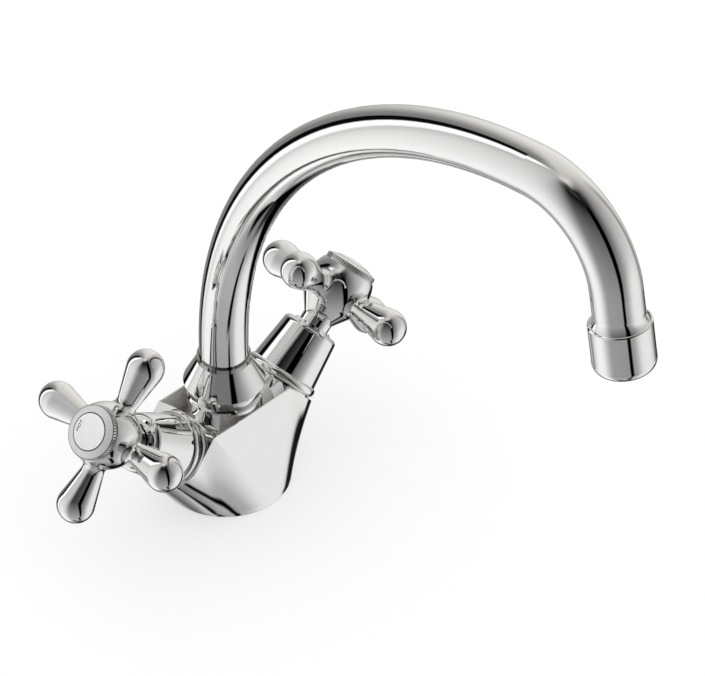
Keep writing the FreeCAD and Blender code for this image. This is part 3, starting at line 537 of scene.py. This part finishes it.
# one lit or black panel over what is behind it in the tent
panel = Effect("tent_panel", [
    ("Behind", "Color", (*black, 1.0)),
    ("Bearing", "Float", 0.0),
    ("Height", "Float", 0.0),
    ("Middle", "Float", 0.0),
    ("Half width", "Float", 10.0),
    ("Side fade", "Float", 5.0),
    ("Foot", "Float", -30.0),
    ("Head", "Float", 30.0),
    ("End fade", "Float", 5.0),
    ("Lean", "Float", 0.0),
    ("Flare", "Float", 0.0),
    ("Low colour", "Color", (*white, 1.0)),
    ("High colour", "Color", (*white, 1.0)),
], [("Colour", "Color")])


def fade(given, middle, spread):
    """Goes softly from 0 to 1 round a middle value."""
    start = panel.reckon("SUBTRACT", middle, spread)
    end = panel.reckon("ADD", middle, spread)
    return panel.ramp(given, start, end, shape="SMOOTHSTEP")


foot, head, height, end_fade = (panel.takes[name] for name in ("Foot", "Head", "Height", "End fade"))
middle = panel.reckon("MULTIPLY_ADD", height, panel.takes["Lean"], panel.takes["Middle"])
edge = panel.reckon("MULTIPLY_ADD", height, panel.takes["Flare"], panel.takes["Half width"])
aside = panel.reckon("SUBTRACT", panel.takes["Bearing"], middle)
aside = panel.reckon("ABSOLUTE", panel.reckon("WRAP", aside, half_turn, -half_turn))
mask = panel.meet(
    panel.reckon("SUBTRACT", 1.0, fade(aside, edge, panel.takes["Side fade"])),
    fade(height, foot, end_fade),
    panel.reckon("SUBTRACT", 1.0, fade(height, head, end_fade)),
)
shade = panel.blend(
    panel.ramp(height, foot, head), panel.takes["Low colour"], panel.takes["High colour"])
panel.feed(panel.gives, Colour=panel.blend(mask, panel.takes["Behind"], shade))

# the bearing is 0 in front of the tap and 90 on the cold side, and the height is 90 overhead
cloth = Finish("tent_cloth", metallic=0.0)
cloth.tree.nodes.remove(cloth.tree.nodes["Principled BSDF"])
glow = cloth.add("Emission")
cloth.feed(cloth.tree.nodes["Material Output"].inputs, Surface=glow.outputs["Emission"])
aim = cloth.split(cloth.reckon("NORMALIZE", cloth.place(), kind="VectorMath", gives="Vector"))
to_front = cloth.reckon("MULTIPLY", aim["Y"], -1.0)
bearing = cloth.reckon("DEGREES", cloth.reckon("ARCTAN2", aim["X"], to_front))
height = cloth.reckon("DEGREES", cloth.reckon("ARCSINE", aim["Z"]))


def hang(behind, across, upward, light, hue=white, **slant):
    """Hangs a panel in front of what is behind it in the tent.

    In degrees, across is its middle, its half width and the fade of its sides,
    and upward is its foot, its head and the fade of its ends. The light is given
    at its foot and at its head.
    """
    low, high = (tuple(level * part for part in hue) for level in light)
    return cloth.share(
        panel, Behind=behind, Bearing=bearing, Height=height,
        Middle=across[0], Half_width=across[1], Side_fade=across[2],
        Foot=upward[0], Head=upward[1], End_fade=upward[2],
        Low_colour=low, High_colour=high, **slant,
    )["Colour"]


all_round = (0.0, 200.0, 0.01)
wall = hang(black, all_round, (-70.0, 63.3, 0.5), (0.475, 0.001))
floor = hang(wall, all_round, (-100.0, -61.0, 1.2), (0.0, 0.44))
zenith = hang(floor, all_round, (75.0, 100.0, 9.0), (0.77, 1.1), ivory)
left_light = hang(zenith, (-143.0, 45.5, 22.5), (-95.0, 84.0, 19.0), (1.17, 0.45))
left_floor = hang(left_light, (-137.0, 38.0, 15.0), (-100.0, -74.0, 5.0), (0.44, 0.55))
front_light = hang(left_floor, (42.5, 28.5, 28.5), (-64.0, 83.0, 17.0), (1.08, 0.077))
front_glow = hang(front_light, (38.0, 22.0, 20.0), (-60.0, -4.0, 12.0), (0.84, 0.84))
right_light = hang(front_glow, (136.0, 65.0, 37.0), (-19.5, 95.0, 29.0), (0.95, 0.507), ivory)
back_wall = hang(right_light, (175.0, 27.5, 22.0), (-88.0, 73.0, 17.0), (0.213, 0.207))
strip_light = hang(back_wall, (-163.5, 8.0, 4.0), (-38.0, 70.0, 12.0), (1.2, 1.15))
back_strip = hang(strip_light, (-176.5, 7.5, 2.5), (-42.5, 52.0, 6.0), (0.003, 0.003), Lean=-0.06)
front_strip = hang(back_strip, (-18.7, 7.3, 2.5), (-45.5, 80.0, 3.5), (0.0, 0.0), Flare=0.07)
strip_foot = hang(front_strip, (-62.5, 7.5, 4.0), (-72.5, -47.0, 3.0), (0.0, 0.0), Lean=-0.78)
floor_shade = hang(strip_foot, (112.0, 35.5, 7.0), (-105.0, -34.0, 3.0), (0.0, 0.002),
                   Lean=0.18, Flare=0.036)
side_gap = hang(floor_shade, (86.0, 5.5, 8.0), (-33.0, 34.0, 18.0), (0.06, 0.36))
left_shade = hang(side_gap, (-68.0, 20.0, 8.0), (-100.0, -73.0, 2.5), (0.0, 0.002))
top_shade = hang(left_shade, (-35.0, 62.0, 24.0), (66.0, 84.0, 11.0), (0.023, 0.0))
back_floor = hang(top_shade, (146.0, 39.0, 7.5), (-66.5, -47.5, 8.0), (0.002, 0.6))
front_shade = hang(back_floor, (48.0, 38.0, 14.0), (-100.0, -77.0, 4.0), (0.0, 0.03))
cloth.feed(glow.inputs, Color=front_shade)


def set_up(name, shape, finish):
    """Puts up a piece of the studio, which isn't part of the tap."""
    mesh = bpy.data.meshes.new(name)
    shape.to_mesh(mesh)
    shape.free()
    mesh.materials.append(finish.material)
    piece = bpy.data.objects.new(name, mesh)
    bpy.context.scene.collection.objects.link(piece)
    return piece


tent_radius = 20.0
dome = bmesh.new()
bmesh.ops.create_uvsphere(dome, u_segments=48, v_segments=24, radius=tent_radius)
bmesh.ops.reverse_faces(dome, faces=dome.faces)
tent = set_up("tent", dome, cloth)
tent.visible_camera = tent.visible_diffuse = tent.visible_shadow = False

world = bpy.data.worlds.new("studio")
bpy.context.scene.world = world
world.use_nodes = True
world.node_tree.nodes["Background"].inputs["Color"].default_value = (*white, 1.0)

table_reach, table_drop = 4.0, 0.0003
paper_tone, paper_glow = (0.5, 0.5, 0.5), 0.53
paper = Finish("white_paper", metallic=0.0)
seen = paper.add("LightPath").outputs["Is Camera Ray"]
paper.feed(
    paper.surface,
    Base_Color=paper_tone,
    Roughness=1.0,
    Specular_IOR_Level=0.0,
    Emission_Color=white,
    Emission_Strength=paper.reckon("MULTIPLY", seen, paper_glow),
)
top = bmesh.new()
bmesh.ops.create_grid(top, x_segments=1, y_segments=1, size=table_reach)
table = set_up("table", top, paper)
table.location.z = -table_drop
table.visible_glossy = False


# --- Camera ----------------------------------------------------------------
# A long lens looks down from the front left, as in a catalogue picture.

azimuth, elevation = math.radians(-45.0), math.radians(40.52)
distance, aim_height = 2.0, 0.06
shift_across, shift_up = 0.04648, 0.00411
back = Vector((
    math.sin(azimuth) * math.cos(elevation),
    -math.cos(azimuth) * math.cos(elevation),
    math.sin(elevation),
))
across = Vector((math.cos(azimuth), math.sin(azimuth), 0.0))
rise = back.cross(across)
lens = bpy.data.cameras.new("camera")
lens.sensor_width = 36.0
lens.lens = 282.8
camera = bpy.data.objects.new("camera", lens)
camera.location = (
    Vector((0, 0, aim_height)) + back * distance + across * shift_across + rise * shift_up)
camera.rotation_mode = "QUATERNION"
camera.rotation_quaternion = (-back).to_track_quat("-Z", "Y")
bpy.context.scene.collection.objects.link(camera)
bpy.context.scene.camera = camera
bpy.context.scene.view_settings.view_transform = "Standard"
